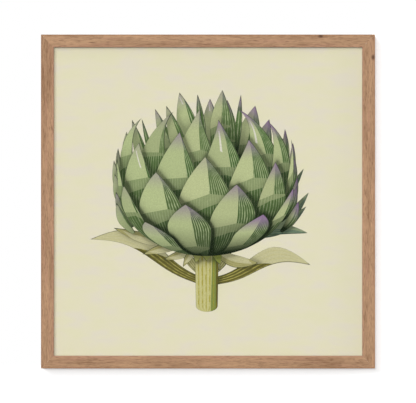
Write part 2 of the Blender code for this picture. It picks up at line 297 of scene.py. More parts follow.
@dataclass(frozen=True)
class PigmentInk:
    """Pigment ink laid in flat watercolour washes: granulated colour, fine veins and a dark pen line."""

    deep: str = "#15210F"
    tip: str = "#8F7596"
    line: str = "#2C3626"
    vein_share: float = 0.24
    tip_reach: float = 34.0

    def material(self) -> bpy.types.Material:
        """Builds the ink from the drawing's maps and attributes.

        Returns:
            The material.
        """
        made, tree = new_material("pigment ink on cotton paper")
        place = add(tree, "ShaderNodeTexCoord", out="Object")
        span = add(tree, "ShaderNodeSeparateXYZ", {0: add(tree, "ShaderNodeUVMap", uv_map=SPAN_MAP)}).node
        edge = add(tree, "ShaderNodeSeparateXYZ", {0: add(tree, "ShaderNodeUVMap", uv_map=EDGE_MAP)}).node
        wash = add(tree, "ShaderNodeAttribute", attribute_name=WASH, out="Color")
        vein = add(tree, "ShaderNodeAttribute", attribute_name=VEIN, out="Color")
        depth = add(tree, "ShaderNodeAttribute", attribute_name=DEPTH, out="Fac")
        traits = add(tree, "ShaderNodeAttribute", attribute_name=TRAITS, out="Vector")
        traits = add(tree, "ShaderNodeSeparateXYZ", {0: traits}).node
        wobble = add(tree, "ShaderNodeTexNoise", {"Vector": place, "Scale": 1 / (9 * MM), "Detail": 1.0},
                     out="Fac")

        # Veins run from base to tip at even steps across the blade, broken up here and there
        step = add(tree, "ShaderNodeMath", {0: span.outputs[0], 1: traits.outputs[1]}, operation="MULTIPLY")
        step = add(tree, "ShaderNodeMath", {0: wobble, 1: 0.3, 2: step}, operation="MULTIPLY_ADD")
        step = add(tree, "ShaderNodeMath", {0: step}, operation="FRACT")
        step = add(tree, "ShaderNodeMath", {0: step, 1: 0.5}, operation="SUBTRACT")
        step = add(tree, "ShaderNodeMath", {0: step}, operation="ABSOLUTE")
        lines = add(tree, "ShaderNodeMapRange", {"Value": step, "From Min": 0.5 - self.vein_share,
                                                 "From Max": 0.5 - self.vein_share / 3})
        lines = add(tree, "ShaderNodeMath", {0: lines, 1: traits.outputs[0]}, operation="MULTIPLY")
        broken = add(tree, "ShaderNodeMapRange", {"Value": wobble, "From Min": 0.35, "From Max": 0.6,
                                                  "To Min": 0.35})
        lines = add(tree, "ShaderNodeMath", {0: lines, 1: broken}, operation="MULTIPLY")
        tint = add(tree, "ShaderNodeMix", {Mix.FACTOR: lines, Mix.A: wash, Mix.B: vein}, **Mix.COLOUR)

        # The tip's tint fades out down the blade
        fade = add(tree, "ShaderNodeMapRange", {"Value": edge.outputs[1], "From Max": self.tip_reach,
                                                "To Min": 1.0, "To Max": 0.0},
                   interpolation_type="SMOOTHSTEP")
        fade = add(tree, "ShaderNodeMath", {0: fade, 1: traits.outputs[2]}, operation="MULTIPLY")
        tint = add(tree, "ShaderNodeMix", {Mix.FACTOR: fade, Mix.A: tint, Mix.B: self.tip}, **Mix.COLOUR)

        # A bract darkens towards its base, the more its tip is tinted, and each blade darkens in the shadow
        # of those in front
        foot = add(tree, "ShaderNodeMapRange", {"Value": span.outputs[1], "From Min": 0.0, "From Max": 0.62,
                                                "To Min": 1.3, "To Max": 0.0})
        foot = add(tree, "ShaderNodeMath", {0: foot, 1: traits.outputs[2]}, operation="MULTIPLY")
        tint = add(tree, "ShaderNodeMix", {Mix.FACTOR: foot, Mix.A: tint, Mix.B: self.deep}, **Mix.COLOUR)
        tint = add(tree, "ShaderNodeMix", {Mix.FACTOR: depth, Mix.A: tint, Mix.B: self.deep}, **Mix.COLOUR)

        # A pen line, heavier on the right than on the left
        side = add(tree, "ShaderNodeMapRange", {"Value": span.outputs[0], "From Min": -0.2, "From Max": 0.2,
                                                "To Min": 0.40, "To Max": 1.10})
        ratio = add(tree, "ShaderNodeMath", {0: edge.outputs[0], 1: side}, operation="DIVIDE")
        pen = add(tree, "ShaderNodeMapRange", {"Value": ratio, "From Min": 0.5, "From Max": 1.2,
                                               "To Min": 0.85, "To Max": 0.0})
        tint = add(tree, "ShaderNodeMix", {Mix.FACTOR: pen, Mix.A: tint, Mix.B: self.line}, **Mix.COLOUR)

        # Pigment settles in grains, a little coarser than real ones, so that they show
        grains = add(tree, "ShaderNodeTexNoise", {"Vector": place, "Scale": 1 / (2.2 * MM), "Detail": 3.0,
                                                  "Roughness": 0.7}, out="Fac")
        grains = add(tree, "ShaderNodeMapRange", {"Value": grains, "From Min": 0.3, "From Max": 0.7,
                                                  "To Min": 0.88, "To Max": 1.12})
        tint = add(tree, "ShaderNodeVectorMath", {0: tint, 1: grains}, operation="MULTIPLY")
        surface = add(tree, "ShaderNodeBsdfPrincipled", {"Base Color": tint, "Roughness": 0.85,
                                                         "Specular IOR Level": 0.1})
        add(tree, "ShaderNodeOutputMaterial", {"Surface": surface})
        return made


@dataclass(frozen=True)
class PictureGlass:
    """Float glass with an anti-glare coat: clear from the front, with a faint mirror at a low angle."""

    tint: str = "#FFFFFF"
    coat_share: float = 0.12
    roughness: float = 0.03

    def material(self) -> bpy.types.Material:
        """Builds the glass as clear with a weak mirror over it, so that it casts no shadow.

        Returns:
            The material.
        """
        made, tree = new_material("picture glass, anti-glare coated")
        mirror = add(tree, "ShaderNodeFresnel", {"IOR": 1.5})
        mirror = add(tree, "ShaderNodeMath", {0: mirror, 1: self.coat_share}, operation="MULTIPLY")
        clear = add(tree, "ShaderNodeBsdfTransparent", {"Color": self.tint})
        gloss = add(tree, "ShaderNodeBsdfAnisotropic", {"Color": "#FFFFFF", "Roughness": self.roughness})
        surface = add(tree, "ShaderNodeMixShader", {0: mirror, 1: clear, 2: gloss})
        add(tree, "ShaderNodeOutputMaterial", {"Surface": surface})
        return made


@dataclass(frozen=True)
class PressedFibreboard:
    """Hardboard, hot-pressed from wood pulp: brown, with pale and dark fibres matted in every direction."""

    base: str = "#8A6848"
    pale: str = "#A98860"
    dark: str = "#5F442D"

    def material(self) -> bpy.types.Material:
        """Builds the board.

        Returns:
            The material.
        """
        made, tree = new_material("pressed fibreboard")
        place = add(tree, "ShaderNodeTexCoord", out="Object")
        mat = add(tree, "ShaderNodeTexNoise", {"Vector": place, "Scale": 1 / (1.2 * MM), "Detail": 4.0,
                                               "Roughness": 0.75, "Distortion": 0.3}, out="Fac")
        clouds = add(tree, "ShaderNodeTexNoise", {"Vector": place, "Scale": 1 / (45 * MM), "Detail": 3.0},
                     out="Fac")
        mixed = add(tree, "ShaderNodeMath", {0: clouds, 1: 0.2, 2: mat}, operation="MULTIPLY_ADD")
        tint = add(tree, "ShaderNodeValToRGB", {"Fac": mixed},
                   stops=((0.38, self.dark), (0.60, self.base), (0.82, self.pale)))
        bump = add(tree, "ShaderNodeBump", {"Height": mat, "Strength": 0.3, "Distance": 0.1 * MM})
        surface = add(tree, "ShaderNodeBsdfPrincipled", {"Base Color": tint, "Roughness": 0.75,
                                                         "Normal": bump})
        add(tree, "ShaderNodeOutputMaterial", {"Surface": surface})
        return made


@dataclass(frozen=True)
class SheetMetal:
    """Thin sheet or wire metal: a fine rolled grain in its gloss and faint darker stains."""

    name: str
    tint: str
    stain: str
    roughness: float

    def material(self) -> bpy.types.Material:
        """Builds the metal.

        Returns:
            The material.
        """
        made, tree = new_material(self.name)
        place = add(tree, "ShaderNodeTexCoord", out="Object")
        stretch = (1 / (6 * MM), 1 / (6 * MM), 1 / (0.5 * MM))
        rolled = add(tree, "ShaderNodeMapping", {"Vector": place, "Scale": stretch})
        lines = add(tree, "ShaderNodeTexNoise", {"Vector": rolled, "Scale": 1.0, "Detail": 2.0}, out="Fac")
        clouds = add(tree, "ShaderNodeTexNoise", {"Vector": place, "Scale": 1 / (3 * MM), "Detail": 3.0},
                     out="Fac")
        tint = add(tree, "ShaderNodeMix", {Mix.FACTOR: clouds, Mix.A: self.tint, Mix.B: self.stain},
                   **Mix.COLOUR)
        gloss = add(tree, "ShaderNodeMapRange", {"Value": lines, "To Min": self.roughness - 0.1,
                                                 "To Max": self.roughness + 0.1})
        surface = add(tree, "ShaderNodeBsdfPrincipled", {"Base Color": tint, "Roughness": gloss,
                                                         "Metallic": 1.0})
        add(tree, "ShaderNodeOutputMaterial", {"Surface": surface})
        return made


@dataclass(frozen=True)
class MouldedRubber:
    """Moulded rubber: near black, dull, with a faint dusty bloom."""

    tint: str = "#2B2A29"
    bloom: str = "#45423F"

    def material(self) -> bpy.types.Material:
        """Builds the rubber.

        Returns:
            The material.
        """
        made, tree = new_material("moulded rubber")
        place = add(tree, "ShaderNodeTexCoord", out="Object")
        dust = add(tree, "ShaderNodeTexNoise", {"Vector": place, "Scale": 1 / (1.5 * MM), "Detail": 3.0},
                   out="Fac")
        tint = add(tree, "ShaderNodeMix", {Mix.FACTOR: dust, Mix.A: self.tint, Mix.B: self.bloom},
                   **Mix.COLOUR)
        bump = add(tree, "ShaderNodeBump", {"Height": dust, "Strength": 0.15, "Distance": 0.05 * MM})
        surface = add(tree, "ShaderNodeBsdfPrincipled", {"Base Color": tint, "Roughness": 0.8,
                                                         "Normal": bump})
        add(tree, "ShaderNodeOutputMaterial", {"Surface": surface})
        return made


# ---------------------------------------------------------------------------------------------------------
# Modelling tools


def only(item: bpy.types.Object) -> None:
    """Selects one object and nothing else, and makes it the active one.

    Args:
        item: the object.
    """
    bpy.ops.object.select_all(action="DESELECT")
    item.select_set(True)
    bpy.context.view_layer.objects.active = item


def copy_of_node(node: str, name: str) -> bpy.types.Object:
    """Copies a CAD node as a piece of its own, with its loose triangles merged.

    Args:
        node: the CAD node's name.
        name: the new piece's name.

    Returns:
        The new piece, with no material.
    """
    piece = bpy.data.objects.new(name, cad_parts[node].data.copy())
    bpy.context.scene.collection.objects.link(piece)
    piece.data.materials.clear()
    only(piece)
    bpy.ops.object.mode_set(mode="EDIT")
    bpy.ops.mesh.select_all(action="SELECT")
    bpy.ops.mesh.remove_doubles(threshold=0.001 * MM)
    bpy.ops.mesh.dissolve_limited(angle_limit=radians(0.1))
    bpy.ops.object.mode_set(mode="OBJECT")
    return piece


def move_corners(piece: bpy.types.Object, chosen: Callable[[Vector], bool], by: Vector) -> None:
    """Slides the corners of a piece that a test picks.

    Args:
        piece: the piece.
        chosen: says of a corner's place whether it moves.
        by: how far it moves.
    """
    only(piece)
    bpy.ops.object.mode_set(mode="EDIT")
    bpy.ops.mesh.select_all(action="DESELECT")
    bpy.ops.object.mode_set(mode="OBJECT")
    for corner in piece.data.vertices:
        corner.select = chosen(corner.co)
    bpy.ops.object.mode_set(mode="EDIT")
    bpy.ops.mesh.select_mode(type="VERT")
    bpy.ops.transform.translate(value=by)
    bpy.ops.object.mode_set(mode="OBJECT")


def settle(piece: bpy.types.Object, slot: str, *nodes: str) -> None:
    """Ties a new piece to the body, hides the CAD nodes that it replaces and logs it.

    Args:
        piece: the finished piece.
        slot: the record's material slot of its finish.
        nodes: the CAD nodes that it replaces.
    """
    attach(piece, BODY)
    if nodes:
        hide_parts(*nodes)
    log.info("%s: %d faces, %s", piece.name, len(piece.data.polygons), slot)


# ---------------------------------------------------------------------------------------------------------
# The oak frame


@dataclass
class OakFrame:
    """Four mitred rails, glued up so tightly that only the turn of the grain shows the mitres."""

    mitre_gap: float = 0.04 * MM
    tolerance: float = 0.02 * MM
    smooth_angle: float = radians(35)
    sides: tuple[str, ...] = ("top", "bottom", "left", "right")

    def build(self) -> None:
        """Builds and dresses the four rails."""
        oak = {grain: OiledOak(grain).material() for grain in Grain}
        for side in self.sides:
            rail = copy_of_node(f"frame_rail_{side}", f"oak_rail_{side}")
            self.close_mitres(rail, side)
            only(rail)
            bpy.ops.object.shade_smooth_by_angle(angle=self.smooth_angle)
            rail.data.materials.append(oak[Grain.ALONG_X if side in ("top", "bottom") else Grain.ALONG_Z])
            settle(rail, "oak", f"frame_rail_{side}")

    def close_mitres(self, rail: bpy.types.Object, side: str) -> None:
        """Lengthens a rail at both ends until its mitres nearly touch the next rails'.

        Args:
            rail: the rail.
            side: which side of the frame it is.
        """
        low, high = CAD_BOX
        middle = (Vector(low) + Vector(high)) / 2
        long_axis, short_axis = (0, 2) if side in ("top", "bottom") else (2, 0)
        tip = max(abs(corner.co[long_axis] - middle[long_axis]) for corner in rail.data.vertices)
        half = (high[short_axis] - low[short_axis]) / 2
        recess = half - tip
        for end in (-1, 1):
            def on_mitre(place: Vector) -> bool:
                """Says whether a corner lies on this end's mitre.

                Args:
                    place: the corner's place.

                Returns:
                    Whether it does.
                """
                along = end * (place[long_axis] - middle[long_axis])
                across = abs(place[short_axis] - middle[short_axis])
                return abs(across - recess - along) < self.tolerance

            reach = Vector((0, 0, 0))
            reach[long_axis] = end * (recess - self.mitre_gap / sqrt(2))
            move_corners(rail, on_mitre, reach)


# ---------------------------------------------------------------------------------------------------------
# The drawing


def ovate(t: float) -> float:
    """A bract's half width as a share of its widest: a pointed tip, full below the middle, a round base."""
    down = 1 - t
    rise = 1 - (1 - min(down / 0.58, 1)) ** 1.7
    foot = sqrt(max(0.0, 1 - (1 - min(t / 0.14, 1)) ** 2))
    return rise * (1 - 0.34 * max(0.0, (down - 0.58) / 0.42) ** 1.5) * (0.25 + 0.75 * foot)


def ogive(t: float) -> float:
    """A hugging bract's half turn: full up to the shoulders, then an arched point."""
    return 1 - max(0.0, (t - 0.52) / 0.48) ** 1.7


def slender(t: float) -> float:
    """A slim bract's half width: long and evenly curved to a sharp tip."""
    return (0.30 + 0.70 * min(t / 0.45, 1) ** 0.7) * cos(pi / 2 * max(0.0, (t - 0.45) / 0.55)) ** 0.85


def strap(t: float) -> float:
    """A long leaf's half width: narrow where it leaves the stem, widest past the middle, with a fine tip."""
    widening = 0.45 + 0.55 * sin(pi * min(t / 0.62, 1) / 2) ** 2
    tapering = 1 - max(0.0, (t - 0.62) / 0.38) ** 1.8
    return max(0.0, widening * tapering)


def stalk(t: float) -> float:
    """A cut stem's half width: nearly even, round at the cut end."""
    rounding = sqrt(max(0.0, 1 - (1 - min(t / 0.09, 1)) ** 2))
    return (0.90 + 0.10 * t) * rounding


PAST = 1.4         # across a blade, in half widths, well past its outline
BELOW = -0.1       # along a blade, well below its base


@dataclass
class Wash:
    """A crisp-edged patch of colour on a blade.

    Its corners are given across the blade, in half widths, and along it from base 0 to tip 1. Those that
    lie past the outline are cut off by it.
    """

    corners: list[tuple[float, float]]
    tint: tuple[float, ...]
    veins: float = 0.0


@dataclass
class Blade:
    """One blade of the drawing: a bract, leaf or stem about a bowed axis.

    Left and right are its half widths where it is widest, and outline is their share along it. The bow
    pushes the axis to its right in the middle, and the sway bends its two halves opposite ways.
    """

    base: Vector
    tip: Vector
    left: float
    right: float
    outline: Callable[[float], float]
    tint: tuple[float, ...]
    vein: tuple[float, ...]
    bow: float = 0.0
    sway: float = 0.0
    veins: float = 0.0
    vein_step: float = 2.6 * MM
    tip_tint: float = 0.0
    shadow: float = 1.0
    steps: int = 26
    washes: list[Wash] = field(default_factory=list)
    length: float = field(init=False)
    along: Vector = field(init=False)
    across: Vector = field(init=False)

    def __post_init__(self) -> None:
        """Works out the axis."""
        self.length = (self.tip - self.base).length
        self.along = (self.tip - self.base) / self.length
        self.across = Vector((self.along.y, -self.along.x))

    def offset(self, t: float) -> float:
        """How far the bowed middle line stands off the straight axis at a share of the length."""
        return self.bow * sin(pi * t) + self.sway * sin(2 * pi * t)

    def at(self, a: float, t: float) -> Vector:
        """The place on the sheet of a share across, in half widths, and a share along."""
        width = self.right if a > 0 else self.left
        return self.base + self.along * (self.length * t) + self.across * (self.offset(t) + a * width)

    def rim(self) -> list[Vector]:
        """The outline's points, once round, with the right edge going up."""
        shares = [(1 - cos(pi * k / self.steps)) / 2 for k in range(self.steps + 1)]
        right = [self.at(self.outline(t), t) for t in shares]
        left = [self.at(-self.outline(t), t) for t in reversed(shares)]
        return right + left

    def span(self, place: Vector) -> tuple[float, float, float, float]:
        """Where a place on the sheet lies on the blade.

        Args:
            place: the place on the sheet.

        Returns:
            The share across from -1 to 1, the share along, the millimetres in from the outline and the
            millimetres down from the tip.
        """
        way = place - self.base
        t = min(max(way.dot(self.along) / self.length, 0.0), 1.0)
        off = way.dot(self.across) - self.offset(t)
        half = (self.right if off > 0 else self.left) * max(self.outline(t), 0.001)
        share = min(max(off / half, -1.0), 1.0)
        return share, t, (1 - abs(share)) * half / MM, (1 - t) * self.length / MM


@dataclass(frozen=True)
class Palette:
    """The drawing's colours."""

    facet: str = "#B5BC8C"
    facet_cool: str = "#A7B682"
    flank: str = "#5C7243"
    flank_cool: str = "#4D6B3A"
    low: str = "#5F7844"
    base: str = "#324D2A"
    core: str = "#27351F"
    vein: str = "#B4BF93"
    glint: str = "#DAD8C6"
    teal: str = "#5A7161"
    leaf: str = "#C3BF94"
    leaf_shade: str = "#7D7C42"
    leaf_dark: str = "#5C5629"
    leaflet: str = "#A8A36E"
    stem: str = "#C3BF84"
    stem_green: str = "#7F8A45"
    stem_line: str = "#A39A38"


def blend_tints(first: str, second: str, share: float) -> tuple[float, ...]:
    """Mixes two hex colours.

    Args:
        first: the colour at a share of 0.
        second: the colour at a share of 1.
        share: how much of the second there is.

    Returns:
        The mixed colour as linear light.
    """
    return tuple(a + (b - a) * share for a, b in zip(linear(first), linear(second)))


@dataclass
class Bract(Blade):
    """A bract that hugs the head, so that its edges run down the head's round to the foot.

    Its turn is its angle round the head from the front, and its reach is its tip's height.
    """

    head: "ArtichokeHead | None" = None
    turn: float = 0.0
    reach: float = 0.0
    half_turn: float = 0.3
    flare: float = 0.05

    def at(self, a: float, t: float) -> Vector:
        """The place on the sheet of a share across, in half widths, and a share along."""
        turn = min(max(self.turn + a * self.half_turn, -pi / 2), pi / 2)
        height = self.head.foot + (self.reach - self.head.foot) * max(t, 0.0)
        place = self.head.seen(height, turn, 1 + self.flare * t ** 4)
        past = copysign(max(abs(a) - 1.0, 0.0), a) * self.half_turn if abs(turn) == pi / 2 else 0.0
        return place + Vector((past * self.head.radius, 0.0))

    def span(self, place: Vector) -> tuple[float, float, float, float]:
        """Where a place on the sheet lies on the bract.

        Args:
            place: the place on the sheet.

        Returns:
            The share across from -1 to 1, the share along, the millimetres in from the outline and the
            millimetres down from the tip.
        """
        way = place - self.head.centre
        sunk, level = sin(self.head.tilt), cos(self.head.tilt)
        height = way.y / level
        # The height and the girth there depend on each other, and six rounds settle them
        for _ in range(6):
            height = min(max(height, self.head.foot), self.reach)
            t = (height - self.head.foot) / (self.reach - self.head.foot)
            girth = self.head.girth(height) * (1 + self.flare * t ** 4)
            height = (way.y + sqrt(max(girth * girth - way.x * way.x, 0.0)) * sunk) / level
        turn = asin(min(max(way.x / max(girth, MM), -1.0), 1.0))
        half = self.half_turn * max(self.outline(t), 0.001)
        share = min(max((turn - self.turn) / half, -1.0), 1.0)
        rim = min(max(self.turn + (half if share > 0 else -half), -pi / 2), pi / 2)
        return share, t, abs(sin(rim) - sin(turn)) * girth / MM, (self.reach - height) / MM


@dataclass
class ArtichokeHead:
    """The artichoke's head: bracts set round a cup by the golden angle, seen from a little above.

    Heights are over its widest level.
    """

    centre: Vector
    radius: float = 137 * MM
    rise: float = 146 * MM
    bowl: float = 104 * MM
    squareness: float = 2.7
    tilt: float = radians(8)
    # The bracts, whose tips go down from the highest to the lowest and crowd together near the top
    count: int = 42
    crowding: float = 1.55
    golden_turn: float = radians(137.508)
    start: float = radians(-8)
    highest: float = 142 * MM
    lowest: float = -52 * MM
    half_turn: float = radians(16.5)
    slimmest: float = 6 * MM
    edge_on: float = radians(88)
    # The row of tips over the top, and the slender blades at each side
    crown_tips: int = 13
    crown_reach: float = 120 * MM
    crown_length: float = 96 * MM
    side_tips: int = 6
    seed: int = 7
    palette: Palette = field(default_factory=Palette)

    @property
    def foot(self) -> float:
        """The height of the bracts' feet over the head's widest level."""
        return -0.985 * self.bowl

    def girth(self, height: float) -> float:
        """The head's half width at a height over its widest level."""
        if height < 0:
            return self.radius * sqrt(max(1 - (height / self.bowl) ** 2, 0.0))
        return self.radius * max(1 - (height / self.rise) ** self.squareness, 0.0) ** (1 / self.squareness)

    def seen(self, height: float, turn: float, stand: float = 1.0) -> Vector:
        """Where a place on the head's round is drawn.

        Args:
            height: its height over the widest level.
            turn: its angle round the head from the front.
            stand: how far out it stands, as a share of the head.

        Returns:
            The place on the sheet.
        """
        out = self.girth(height) * stand
        up = height * cos(self.tilt) - out * cos(turn) * sin(self.tilt)
        return self.centre + Vector((out * sin(turn), up))

    def blades(self) -> Iterator[Blade]:
        """The head's blades, those behind first."""
        rng = Random(self.seed)
        yield self.core()
        yield from self.sides(rng)
        yield from self.crown(rng)
        for number in range(self.count):
            share = number / (self.count - 1)
            height = self.highest + (self.lowest - self.highest) * share ** self.crowding
            turn = (self.start + number * self.golden_turn + pi) % (2 * pi) - pi
            draws = (rng.random(), rng.random(), rng.random())
            if abs(turn) < self.edge_on:
                yield self.bract(height, turn, *draws)

    def sides(self, rng: Random) -> Iterator[Blade]:
        """The slender blades that stand off on the left and on the right.

        Args:
            rng: the head's random draws.
        """
        for side in (-1, 1):
            for number in reversed(range(self.side_tips)):
                share = number / (self.side_tips - 1)
                height = (-22 + 118 * share + 12 * (rng.random() - 0.5)) * MM
                stand_off = side * (5 + 8 * rng.random()) * MM
                tip = self.seen(height, side * pi / 2) + Vector((stand_off, 0))
                lean = side * radians(30 - 24 * share)
                length = (56 + 32 * share) * MM
                base = tip - Vector((sin(lean), cos(lean))) * length
                half = (6.0 + 2.5 * rng.random()) * MM
                blade = Blade(base, tip, half, half, slender, (), (), bow=side * 5 * MM, shadow=0.45)
                yield self.dressed(blade, side * 1.2, rng.random(), rng.random(), rng.random())

    def crown(self, rng: Random) -> Iterator[Blade]:
        """The row of tips that stands up over the top, behind the rest.

        Every fourth is slim and has no washes.

        Args:
            rng: the head's random draws.
        """
        for number in sorted(range(self.crown_tips), key=lambda k: (k % 2, k)):
            place = 2 * number / (self.crown_tips - 1) - 1
            across = self.crown_reach * place + 18 * MM * (rng.random() - 0.5)
            out = across / self.radius
            up = self.rise * (1 - abs(out) ** self.squareness) ** (1 / self.squareness)
            tip = self.centre + Vector((across, up + (20 * rng.random() - 6) * MM))
            lean = out * radians(22) + radians(14) * (rng.random() - 0.5)
            base = tip - Vector((sin(lean), cos(lean))) * self.crown_length
            half = (11 + 11 * rng.random()) * MM * (1 - 0.45 * abs(out) ** 2)
            slim = number % 4 == 1
            left, right = (half * 0.5, half * 0.5) if slim else (half, half * 1.1)
            blade = Blade(base, tip, left, right, slender if slim else ovate, (), (), shadow=0.35)
            blade = self.dressed(blade, out, rng.random(), rng.random(), rng.random())
            if slim:
                blade.washes.clear()
            yield blade

    def core(self) -> Blade:
        """The dark inside that shows between the bracts."""
        dark = linear(self.palette.core)
        return Bract(self.seen(self.foot, 0), self.seen(self.highest, 0), self.radius, self.radius, ogive,
                     dark, dark, shadow=0.6, head=self, reach=0.74 * self.rise, half_turn=radians(68))

    def bract(self, height: float, turn: float, luck: float, lean: float, spread: float) -> Blade:
        """Draws one bract on the head's round.

        Args:
            height: its tip's height over the widest level.
            turn: its angle round the head from the front.
            luck: a draw from 0 to 1 for its colours.
            lean: a draw from 0 to 1 for its facets.
            spread: a draw from 0 to 1 for its size.

        Returns:
            The bract.
        """
        half_turn = self.half_turn * (0.90 + 0.24 * spread)
        left, right = (max(abs(self.radius * (sin(turn + side * half_turn) - sin(turn))), self.slimmest)
                       for side in (-1, 1))
        bract = Bract(self.seen(self.foot, turn), self.seen(height, turn), left, right, ogive, (), (),
                      head=self, turn=turn, reach=height, half_turn=half_turn, flare=0.04 + 0.05 * spread,
                      shadow=1 - 0.35 * max(height / self.highest, 0.0))
        sunk = (self.highest - height) / (self.highest - self.lowest)
        return self.dressed(bract, turn, luck, lean, spread, sunk)

    def dressed(self, blade: Blade, turn: float, luck: float, lean: float, spread: float,
                sunk: float = 0.0) -> Blade:
        """Lays a bract's washes: a pale facet, a veined flank beside it and a darker low band.

        Args:
            blade: the bare bract.
            turn: its angle round the head from the front.
            luck: a draw from 0 to 1 for its colours.
            lean: a draw from 0 to 1 for its facets.
            spread: a draw from 0 to 1 for its facets' ends.
            sunk: how low on the head its tip is, from 0 to 1.

        Returns:
            The bract.
        """
        colours = self.palette
        facet = blend_tints(colours.facet, colours.facet_cool, max(0.0, -sin(turn)) * 0.6 + 0.4 * luck)
        facet = tuple(part * (0.86 + 0.22 * spread) for part in facet)
        shade = 1.08 - 0.42 * sunk
        low = tuple(part * shade for part in blend_tints(colours.low, colours.base, 0.2 + 0.5 * luck))
        keel = 0.26 - 0.34 * sin(turn) + 0.24 * (lean - 0.5)
        left_end = 1 - (70 + 16 * (spread - 0.5)) * MM / blade.length
        keel_end = 1 - (60 + 16 * (luck - 0.5)) * MM / blade.length
        band = (6 + 16 * spread) * MM / blade.length
        middle = tuple(0.45 * a + 0.55 * b for a, b in zip(facet, low))
        blade.tint = tuple(part * shade for part in blend_tints(colours.flank, colours.flank_cool, lean))
        blade.vein = linear(colours.vein)
        blade.veins = 0.9
        blade.vein_step = 4.6 * MM
        blade.tip_tint = min(0.25 + 0.45 * luck + 0.6 * max(0.0, sin(turn)), 1.0)
        blade.washes = [
            Wash([(-PAST, left_end), (keel, keel_end), (PAST, keel_end - 0.1), (PAST, BELOW),
                  (-PAST, BELOW)], low, 0.55),
            Wash([(-PAST, left_end), (keel, keel_end), (PAST, keel_end - 0.04),
                  (PAST, keel_end - 0.14 * lean), (keel - 0.2, keel_end - band),
                  (-PAST, left_end - 1.3 * band)], middle, 0.4),
            Wash([(-PAST, left_end), (keel, keel_end), (keel * 0.6, 0.88), (0.0, 1.02), (-PAST, 1.02)],
                 facet, 0.14),
        ]
        if lean > 0.8 and blade.right > 14 * MM:
            glint = [(keel - 0.42, 0.80), (keel - 0.32, 0.79), (-0.06, 0.93), (-0.12, 0.93)]
            blade.washes.append(Wash(glint, linear(colours.glint)))
        return blade


